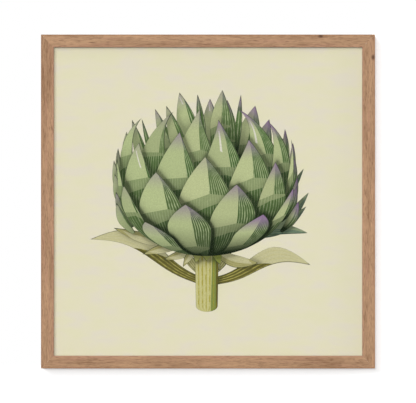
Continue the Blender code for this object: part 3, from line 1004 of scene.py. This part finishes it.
@dataclass
class BotanicalDrawing:
    """The drawing on the sheet, from its rearmost blade to its foremost."""

    palette: Palette = field(default_factory=Palette)
    head_centre: Vector = field(default_factory=lambda: Vector((-3.4 * MM, 18 * MM)))
    stem_foot: Vector = field(default_factory=lambda: Vector((-1.9 * MM, -175.4 * MM)))
    stem_top: Vector = field(default_factory=lambda: Vector((-1.9 * MM, -72 * MM)))
    stem_half: float = 19 * MM
    leaf_join: float = 48 * MM
    leaf_half: float = 13.5 * MM
    left_leaf_tip: Vector = field(default_factory=lambda: Vector((-187 * MM, -60 * MM)))
    right_leaf_tip: Vector = field(default_factory=lambda: Vector((163 * MM, -101 * MM)))

    def blades(self) -> list[Blade]:
        """Every blade in the order it is laid down."""
        return [*self.leaves(), *self.leaflets(), *self.outer_bracts(), self.stem(), *self.collar(),
                *ArtichokeHead(self.head_centre).blades()]

    def leaves(self) -> Iterator[Blade]:
        """The two long leaves that sweep out from the stem, and a short stalk over each."""
        colours = self.palette
        join = self.stem_foot + Vector((0, self.leaf_join))
        for tip, side in ((self.left_leaf_tip, -1), (self.right_leaf_tip, 1)):
            stalk_top = self.stem_top + Vector((side * 40 * MM, 2 * MM))
            yield Blade(join + Vector((side * 4 * MM, 6 * MM)), stalk_top, 7 * MM, 7 * MM, strap,
                        linear(colours.stem), linear(colours.leaf_dark), bow=side * 3 * MM, veins=0.8,
                        vein_step=3.4 * MM, shadow=0.5)
            shade = Wash([(side * PAST, BELOW), (-side * PAST, BELOW), (-side * PAST, 0.16),
                          (side * 0.05, 0.46), (side * PAST, 0.72)],
                         blend_tints(colours.leaf_shade, colours.leaf_dark, 0.8), 1.0)
            bow = -side * 19 * MM
            yield Blade(join + Vector((side * 6 * MM, 0)), tip, self.leaf_half, self.leaf_half, strap,
                        linear(colours.leaf), blend_tints(colours.stem_line, colours.stem, 0.3), bow=bow,
                        sway=-0.5 * bow, veins=0.2, vein_step=7 * MM, washes=[shade], shadow=0.4)

    def leaflets(self) -> Iterator[Blade]:
        """Small withered leaflets under the head."""
        colours = self.palette
        heart = self.stem_top + Vector((0, 8 * MM))
        for x, z, half, bow in ((-150, -42, 9, -10), (-104, -84, 8, 4), (-70, -92, 7, -3),
                                (-40, -104, 6, 5), (-14, -112, 8, 2), (20, -110, 8, 3), (46, -90, 7, 6),
                                (80, -98, 10, 12)):
            tip = Vector((x * MM, z * MM))
            light = Wash([(-PAST, BELOW), (0.1, BELOW), (0.1, 0.9), (-PAST, 0.7)],
                         linear(colours.leaf), 0.2)
            yield Blade(heart, tip, half * MM, half * MM, strap, linear(colours.leaflet),
                        linear(colours.leaf_shade), bow=bow * MM, veins=0.5, vein_step=3.4 * MM, shadow=0.5,
                        washes=[light])

    def outer_bracts(self) -> Iterator[Blade]:
        """Slim blue-green bracts that flare out low on the right."""
        colours = self.palette
        for x, z, half, bow in ((152, 52, 9, 8), (160, 14, 10, 14), (156, -8, 9, 12), (158, -50, 9, -9)):
            base = self.head_centre + Vector((66 * MM, -74 * MM))
            light = Wash([(-PAST, 0.1), (0.0, 0.1), (0.0, 1.02), (-PAST, 1.02)],
                         blend_tints(colours.teal, colours.facet, 0.35), 0.3)
            yield Blade(base, Vector((x * MM, z * MM)), half * MM, half * MM, slender,
                        linear(colours.teal), linear(colours.vein), bow=bow * MM, veins=0.5, shadow=0.6,
                        washes=[light])

    def collar(self) -> Iterator[Blade]:
        """Short green leaflets that lap down over the stem's top."""
        colours = self.palette
        for x, z, half, share in ((-20, -97, 8, 0.35), (19, -100, 8, 0.0), (-2, -94, 10, 0.2)):
            base = self.stem_top + Vector((x / 2 * MM, 8 * MM))
            yield Blade(base, Vector((x * MM, z * MM)), half * MM, half * MM, slender,
                        blend_tints(colours.stem_green, colours.stem, share), linear(colours.stem_line),
                        veins=0.6, vein_step=4 * MM, shadow=0.5)

    def stem(self) -> Blade:
        """The cut stem, pale on its left and green on its right."""
        colours = self.palette
        green = Wash([(0.30, BELOW), (PAST, BELOW), (PAST, 1.1), (0.50, 1.1)],
                     linear(colours.stem_green), 0.6)
        dark = Wash([(0.74, BELOW), (PAST, BELOW), (PAST, 1.1), (0.8, 1.1)],
                    linear(colours.leaf_dark), 0.4)
        return Blade(self.stem_foot, self.stem_top, self.stem_half, self.stem_half, stalk,
                     linear(colours.stem), linear(colours.stem_line), veins=1.0, vein_step=5.5 * MM,
                     washes=[green, dark], shadow=0.7)


CORNERS = ((-1, -1), (1, -1), (1, 1), (-1, 1))      # a rectangle's, once round


@dataclass
class PrintedSheet:
    """The print: one closed sheet of paper whose front is divided along the drawing's outlines."""

    grid: float = 2.4 * MM
    coarse_grid: float = 12 * MM
    finest: float = 0.05 * MM
    tolerance: float = 0.02 * MM
    join_distance: float = 0.002 * MM
    margin: float = 6 * MM
    shadow_reach: float = 5 * MM
    shadow_shift: tuple[float, float] = (-3.5 * MM, -0.5 * MM)
    shadow_near: float = 0.60
    shadow_far: float = 0.70
    shadow_weight: float = 0.95
    shadow_contrast: float = 2.2
    shadow_limit: float = 0.98
    low: Vector = field(init=False)
    high: Vector = field(init=False)
    centre: Vector = field(init=False)
    blades: list[Blade] = field(init=False)

    def build(self) -> bpy.types.Object:
        """Builds and dresses the sheet.

        Returns:
            The sheet.
        """
        self.low, self.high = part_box("art_print")
        self.centre = Vector(((self.low.x + self.high.x) / 2, (self.low.z + self.high.z) / 2))
        self.blades = BotanicalDrawing().blades()
        points, triangles, owners = self.partition()
        piece = self.sheet(points, triangles)
        piece.data.materials.append(CottonPaper().material())
        piece.data.materials.append(PigmentInk().material())
        self.ink(piece, points, triangles, owners)
        settle(piece, "art_paper", "art_print")
        return piece

    def partition(self) -> tuple[list[Vector], list[tuple[int, ...]], list[tuple[int, int]]]:
        """Divides the front along every outline.

        Returns:
            The points about the sheet's centre, the triangles, and each triangle's foremost blade and
            the foremost wash of that blade there, or -1.
        """
        half_x, half_z = (self.high.x - self.low.x) / 2, (self.high.z - self.low.z) / 2
        points = [Vector((x * half_x, z * half_z)) for x, z in CORNERS]
        faces = [[0, 1, 2, 3]]

        # The outlines of the blades and of their washes
        patches = []
        for number, blade in enumerate(self.blades):
            outlines = [blade.rim()]
            outlines += [[blade.at(a, t) for a, t in self.finer(wash.corners)] for wash in blade.washes]
            for order, outline in enumerate(outlines, -1):
                outline = [place for place, after in zip(outline, outline[1:] + outline[:1])
                           if (after - place).length > self.finest]
                if len(outline) > 2:
                    faces.append(list(range(len(points), len(points) + len(outline))))
                    points.extend(outline)
                    patches.append((number, order, np.array([tuple(p) for p in outline])))

        # Points between them, close together on the drawing and far apart round it
        rims = np.concatenate([outline for _, order, outline in patches if order < 0])
        low, high = Vector(rims.min(0)), Vector(rims.max(0))
        points.extend(self.lattice(low, high, self.grid))
        edge = Vector((half_x - self.margin, half_z - self.margin))
        points.extend(p for p in self.lattice(-edge, edge, self.coarse_grid)
                      if not (low.x - self.grid < p.x < high.x + self.grid
                              and low.y - self.grid < p.y < high.y + self.grid))
        made, _, triangles, *_ = delaunay_2d_cdt(points, [], faces, 0, self.tolerance, False)
        made, triangles = self.soundly_joined(made, triangles)

        # Later blades lie over earlier ones
        middles = np.array([tuple(p) for p in made])[np.array(triangles)].mean(1)
        owners = np.full((len(triangles), 2), -1)
        for number, order, outline in patches:
            held = self.inside(middles, outline)
            if order < 0:
                owners[held] = (number, -1)
            else:
                owners[held & (owners[:, 0] == number), 1] = order
        return made, triangles, owners.tolist()

    def soundly_joined(self, points: list[Vector], triangles: list[tuple[int, ...]]) -> tuple[list, list]:
        """Joins points that fall together, and drops doubled triangles and those that come to nothing.

        Args:
            points: the points.
            triangles: the triangles between them.

        Returns:
            The points and the triangles that are left.
        """
        work = bmesh.new()
        corners = [work.verts.new((*point, 0.0)) for point in points]
        for members, triangle in {frozenset(triangle): triangle for triangle in triangles}.items():
            if len(members) == 3:
                work.faces.new([corners[k] for k in triangle])
        bmesh.ops.remove_doubles(work, verts=work.verts[:], dist=self.join_distance)
        work.verts.index_update()
        places = [Vector(corner.co.xy) for corner in work.verts]
        left = [tuple(corner.index for corner in face.verts) for face in work.faces]
        work.free()
        return places, left

    @staticmethod
    def lattice(low: Vector, high: Vector, step: float) -> Iterator[Vector]:
        """Points in staggered rows over a rectangle.

        Args:
            low: the rectangle's lowest corner.
            high: its highest corner.
            step: the points' distance.

        Returns:
            The points.
        """
        rise = step * sqrt(3) / 2
        for row in range(ceil((high.y - low.y) / rise)):
            for column in range(ceil((high.x - low.x) / step)):
                yield Vector((low.x + (column + 0.5 * (row % 2)) * step, low.y + row * rise))

    @staticmethod
    def finer(corners: list[tuple[float, float]], steps: int = 8) -> list[tuple[float, float]]:
        """Divides a wash's edges, so that they follow the blade's bow.

        Args:
            corners: the wash's corners on its blade.
            steps: into how many parts each edge is divided.

        Returns:
            The corners of the divided edges.
        """
        fine = []
        for (a, t), (next_a, next_t) in zip(corners, corners[1:] + corners[:1]):
            fine += [(a + (next_a - a) * k / steps, t + (next_t - t) * k / steps) for k in range(steps)]
        return fine

    def sheet(self, points: list[Vector], triangles: list[tuple[int, ...]]) -> bpy.types.Object:
        """Models the closed sheet.

        Args:
            points: the front's points about the sheet's centre.
            triangles: the front's triangles.

        Returns:
            The piece. Its first faces are the triangles, in order.
        """
        mesh = bpy.data.meshes.new("printed_sheet")
        work = bmesh.new()
        front = [work.verts.new((p.x + self.centre.x, self.low.y, p.y + self.centre.y)) for p in points]
        for triangle in triangles:
            work.faces.new([front[corner] for corner in triangle])
        half_x, half_z = (self.high.x - self.low.x) / 2, (self.high.z - self.low.z) / 2
        corners = [min(front, key=lambda corner: hypot(corner.co.x - self.centre.x - x * half_x,
                                                       corner.co.z - self.centre.y - z * half_z))
                   for x, z in CORNERS]
        back = [work.verts.new((corner.co.x, self.high.y, corner.co.z)) for corner in corners]
        work.faces.new(back[::-1])
        for k in range(4):
            work.faces.new((corners[k], back[k], back[k - 3], corners[k - 3]))
        work.to_mesh(mesh)
        work.free()
        piece = bpy.data.objects.new("printed_sheet", mesh)
        bpy.context.scene.collection.objects.link(piece)
        return piece

    def ink(self, piece: bpy.types.Object, points: list[Vector], triangles: list[tuple[int, ...]],
            owners: list[tuple[int, int]]) -> None:
        """Hands each face its colours and its place on its blade.

        Args:
            piece: the sheet.
            points: the front's points about the sheet's centre.
            triangles: the front's triangles.
            owners: each triangle's blade and wash.
        """
        mesh = piece.data
        faces, corners = len(mesh.polygons), len(mesh.loops)
        columns = {SPAN_MAP: np.zeros((corners, 2)), EDGE_MAP: np.zeros((corners, 2)),
                   DEPTH: np.zeros((corners, 1)), WASH: np.ones((faces, 4)), VEIN: np.ones((faces, 4)),
                   TRAITS: np.zeros((faces, 3)), "material_index": np.zeros((faces, 1), int)}
        shadows = self.shadows(points, triangles, owners)
        for number, (triangle, (owner, order)) in enumerate(zip(triangles, owners)):
            if owner < 0:
                continue
            blade = self.blades[owner]
            patch = blade.washes[order] if order >= 0 else blade
            half = (blade.left + blade.right) / 2
            columns[WASH][number] = patch.tint
            columns[VEIN][number] = blade.vein
            columns[TRAITS][number] = (patch.veins, max(round(half / blade.vein_step), 1), blade.tip_tint)
            columns["material_index"][number] = 1
            for corner, point in zip(mesh.polygons[number].loop_indices, triangle):
                share, t, inside, down = blade.span(points[point])
                columns[SPAN_MAP][corner] = (share, t)
                columns[EDGE_MAP][corner] = (inside, down)
                columns[DEPTH][corner] = shadows.get((owner, point), 0.0)
        columns[BAKE_MAP] = self.bake_places(mesh, len(triangles))
        for name in (SPAN_MAP, EDGE_MAP, BAKE_MAP):
            mesh.uv_layers.new(name=name)
            mesh.uv_layers[name].data.foreach_set("uv", columns[name].ravel())
        for name, kind, domain, key in ((WASH, "FLOAT_COLOR", "FACE", "color"),
                                        (VEIN, "FLOAT_COLOR", "FACE", "color"),
                                        (TRAITS, "FLOAT_VECTOR", "FACE", "vector"),
                                        (DEPTH, "FLOAT", "CORNER", "value"),
                                        ("material_index", "INT", "FACE", "value")):
            layer = mesh.attributes.get(name) or mesh.attributes.new(name, kind, domain)
            layer.data.foreach_set(key, columns[name].ravel())
        mesh.update()

    def bake_places(self, mesh: bpy.types.Mesh, front: int) -> np.ndarray:
        """Lays the sheet out flat, with its front over nearly the whole map and its other faces in a strip.

        Args:
            mesh: the sheet's mesh.
            front: how many faces, the first ones, make up the front.

        Returns:
            A place on the map for each face corner.
        """
        strip, cell, gap = 0.06, 0.04, 0.01
        places = np.zeros((len(mesh.loops), 2))
        for face in mesh.polygons:
            for order, corner in enumerate(face.loop_indices):
                if face.index < front:
                    place = mesh.vertices[mesh.loops[corner].vertex_index].co
                    across = (place.x - self.low.x) / (self.high.x - self.low.x)
                    up = (place.z - self.low.z) / (self.high.z - self.low.z)
                    places[corner] = across, strip + (1 - strip) * up
                else:
                    left = gap + (face.index - front) * (cell + gap)
                    places[corner] = left + cell * (order in (1, 2)), gap + cell * (order in (2, 3))
        return places

    def shadows(self, points: list[Vector], triangles: list[tuple[int, ...]],
                owners: list[tuple[int, int]]) -> dict[tuple[int, int], float]:
        """Works out how deep each point of each blade lies in the shadow of the blades in front.

        Only the two nearest blades in front count, so that hidden ones don't pile up.

        Args:
            points: the front's points about the sheet's centre.
            triangles: the front's triangles.
            owners: each triangle's blade and wash.

        Returns:
            For each blade and point, a depth from 0 to 1.
        """
        outlines = [np.array([tuple(p) for p in blade.rim()]) for blade in self.blades]
        used = {}
        for triangle, (owner, _) in zip(triangles, owners):
            if owner >= 0:
                used.setdefault(owner, set()).update(triangle)
        found = {}
        for owner, members in used.items():
            order = sorted(members)
            places = np.array([tuple(points[k]) for k in order]) + self.shadow_shift
            deepest = second = np.zeros(len(order))
            for outline in outlines[owner + 1:]:
                near = 4 * self.shadow_reach
                if ((outline.min(0) > places.max(0) + near).any()
                        or (outline.max(0) < places.min(0) - near).any()):
                    continue
                gap = self.distance(places, outline) / self.shadow_reach
                depth = self.shadow_near * np.exp(-2 * gap) + self.shadow_far * np.exp(-gap / 2)
                second = np.maximum(second, np.minimum(deepest, depth))
                deepest = np.maximum(deepest, depth)
            strength = ((deepest + second) * self.shadow_weight) ** self.shadow_contrast
            strength = np.clip(strength, 0, self.shadow_limit) * self.blades[owner].shadow
            found.update({(owner, point): float(depth) for point, depth in zip(order, strength)})
        return found

    @staticmethod
    def distance(places: np.ndarray, outline: np.ndarray) -> np.ndarray:
        """How far each place is outside a closed outline, or 0 inside it.

        Args:
            places: one place to a row.
            outline: the outline's corners, one to a row.

        Returns:
            The distances.
        """
        ends = np.roll(outline, -1, 0)
        edge = ends - outline
        way = places[:, None] - outline[None]
        share = np.clip((way * edge).sum(2) / np.maximum((edge * edge).sum(1), 1e-18), 0, 1)
        gap = np.linalg.norm(way - share[:, :, None] * edge, axis=2).min(1)
        return np.where(PrintedSheet.inside(places, outline), 0.0, gap)

    @staticmethod
    def inside(places: np.ndarray, outline: np.ndarray) -> np.ndarray:
        """Says which places lie inside a closed outline.

        Args:
            places: one place to a row.
            outline: the outline's corners, one to a row.

        Returns:
            One truth value to a place.
        """
        held = np.zeros(len(places), bool)
        near = np.flatnonzero(((places > outline.min(0)) & (places < outline.max(0))).all(1))
        edge = np.roll(outline, -1, 0) - outline
        x, y = places[near, 0, None], places[near, 1, None]
        crosses = (outline[:, 1] > y) != (outline[:, 1] + edge[:, 1] > y)
        rise = np.where(edge[:, 1] == 0, 1e-18, edge[:, 1])
        beyond = x < outline[:, 0] + edge[:, 0] * (y - outline[:, 1]) / rise
        held[near] = (crosses & beyond).sum(1) % 2 == 1
        return held


# ---------------------------------------------------------------------------------------------------------
# Glass, backboard and hardware


@dataclass
class Hardware:
    """The glass in front of the print, the board behind it and the back's metal and rubber."""

    def build(self) -> None:
        """Dresses the CAD nodes whose shape is already right."""
        spring = SheetMetal("spring steel, blued", "#5C5A58", "#3C3A39", 0.42).material()
        zinc = SheetMetal("mild steel, zinc plated", "#C9CBCD", "#A9ACAF", 0.32).material()
        rubber = MouldedRubber().material()
        looks = {"glazing": PictureGlass().material(), "backboard": PressedFibreboard().material(),
                 "flexi_tab": spring, "v_nail": zinc, "sawtooth_hanger": zinc, "hanger_screw": zinc,
                 "bumper": rubber}
        for name, node in sorted(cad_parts.items()):
            for start, material in looks.items():
                if name.startswith(start):
                    for slot in node.material_slots:
                        slot.material = material
                    log.info("%s: %s", name, material.name)


# ---------------------------------------------------------------------------------------------------------
# Studio


@dataclass
class Studio:
    """A white studio: a floor well below the hanging frame, strips of wall, soft light and a camera."""

    distance: float = 4.0
    view_width: float = 0.6601
    sensor: float = 36.0
    floor_drop: float = 0.6
    floor_size: float = 12.0
    wall_width: float = 0.35
    wall_gap: float = 0.5 * MM
    wall_tuck: float = 3 * MM
    sky_light: float = 0.24
    glow: float = 0.20
    white_paint: bpy.types.Material = field(init=False)
    # Each lamp's name, the way towards it, its strength and its angular size. The fill and the front lamp
    # leave no gleam.
    lamps: tuple[tuple[str, tuple[float, float, float], float, float], ...] = (
        ("key", (-0.50, -1.0, 0.42), 0.92, radians(24)),
        ("fill", (-0.13, -1.0, 0.13), 1.06, radians(10)),
        ("front", (0.0, -1.0, 0.0), 0.54, radians(8)),
        ("side", (1.0, -0.12, 0.25), 1.15, radians(20)),
        ("rear", (-0.35, 1.0, 0.55), 2.6, radians(20)),
    )

    def build(self) -> None:
        """Builds the stage, the lights and the camera."""
        self.white_paint = self.white()
        self.floor()
        self.wall()
        self.lights()
        self.camera()

    def white(self) -> bpy.types.Material:
        """Matt white paint, which looks white even in shade and throws little light back on the frame."""
        made, tree = new_material("matt white paint")
        seen = add(tree, "ShaderNodeLightPath", out="Is Camera Ray")
        bright = add(tree, "ShaderNodeBsdfPrincipled", {"Base Color": "#FCFCFC", "Roughness": 1.0,
                                                        "Specular IOR Level": 0.0,
                                                        "Emission Color": "#FFFFFF",
                                                        "Emission Strength": self.glow})
        dull = add(tree, "ShaderNodeBsdfDiffuse", {"Color": "#808080"})
        surface = add(tree, "ShaderNodeMixShader", {0: seen, 1: dull, 2: bright})
        behind = add(tree, "ShaderNodeNewGeometry", out="Backfacing")
        nothing = add(tree, "ShaderNodeBsdfTransparent")
        surface = add(tree, "ShaderNodeMixShader", {0: behind, 1: surface, 2: nothing})
        add(tree, "ShaderNodeOutputMaterial", {"Surface": surface})
        return made

    def plane(self, name: str, low: tuple[float, ...], high: tuple[float, ...]) -> None:
        """Adds a flat rectangle of the stage between two corners, which casts no shadow.

        Args:
            name: the object's name.
            low: its lowest corner.
            high: its highest corner, at the same height or depth.
        """
        mesh = bpy.data.meshes.new(name)
        (left, front, bottom), (right, back, top) = low, high
        corners = [low, (right, front, bottom), high, (left, back, top)]
        mesh.from_pydata(corners, [], [(0, 1, 2, 3)])
        mesh.materials.append(self.white_paint)
        made = bpy.data.objects.new(name, mesh)
        made.visible_shadow = False
        bpy.context.scene.collection.objects.link(made)

    def floor(self) -> None:
        """The floor."""
        half = self.floor_size / 2
        self.plane("floor", (-half, -half, -self.floor_drop), (half, half, -self.floor_drop))

    def wall(self) -> None:
        """The strips of wall that take the frame's soft shadow on its right and below it."""
        low, high = CAD_BOX
        back = high[1] + self.wall_gap
        tuck = self.wall_tuck
        self.plane("wall_right", (high[0] - tuck, back, low[2] - self.wall_width),
                   (high[0] + self.wall_width, back, high[2] + self.wall_width))
        self.plane("wall_below", (low[0] - self.wall_width, back, low[2] - self.wall_width),
                   (high[0] - tuck, back, low[2] + tuck))

    def lights(self) -> None:
        """The lamps and an even white sky."""
        for name, toward, strength, angle in self.lamps:
            light = bpy.data.lights.new(name, "SUN")
            light.energy = strength
            light.angle = angle
            lamp = bpy.data.objects.new(name, light)
            lamp.visible_glossy = name not in ("fill", "front")
            lamp.rotation_euler = Vector(toward).to_track_quat("Z", "Y").to_euler()
            bpy.context.scene.collection.objects.link(lamp)
        world = bpy.data.worlds.new("studio")
        world.use_nodes = True
        tree = world.node_tree
        tree.nodes.clear()
        seen = add(tree, "ShaderNodeLightPath", out="Is Camera Ray")
        strength = add(tree, "ShaderNodeMapRange", {"Value": seen, "To Min": self.sky_light, "To Max": 1.0})
        surface = add(tree, "ShaderNodeBackground", {"Color": "#FFFFFF", "Strength": strength})
        add(tree, "ShaderNodeOutputWorld", {"Surface": surface})
        bpy.context.scene.world = world

    def camera(self) -> None:
        """A long lens straight in front of the frame."""
        low, high = CAD_BOX
        lens = bpy.data.cameras.new("camera")
        lens.sensor_width = self.sensor
        lens.lens = self.sensor * self.distance / self.view_width
        lens.dof.use_dof = False
        made = bpy.data.objects.new("camera", lens)
        made.location = ((low[0] + high[0]) / 2, low[1] - self.distance, (low[2] + high[2]) / 2)
        made.rotation_euler = (radians(90), 0, 0)
        bpy.context.scene.collection.objects.link(made)
        bpy.context.scene.camera = made
        bpy.context.scene.view_settings.view_transform = "Standard"


def main() -> None:
    """Builds the frame's looks in order."""
    logging.basicConfig(level=logging.INFO, format="%(message)s")
    OakFrame().build()
    PrintedSheet().build()
    Hardware().build()
    Studio().build()


if __name__ == "__main__":
    main()
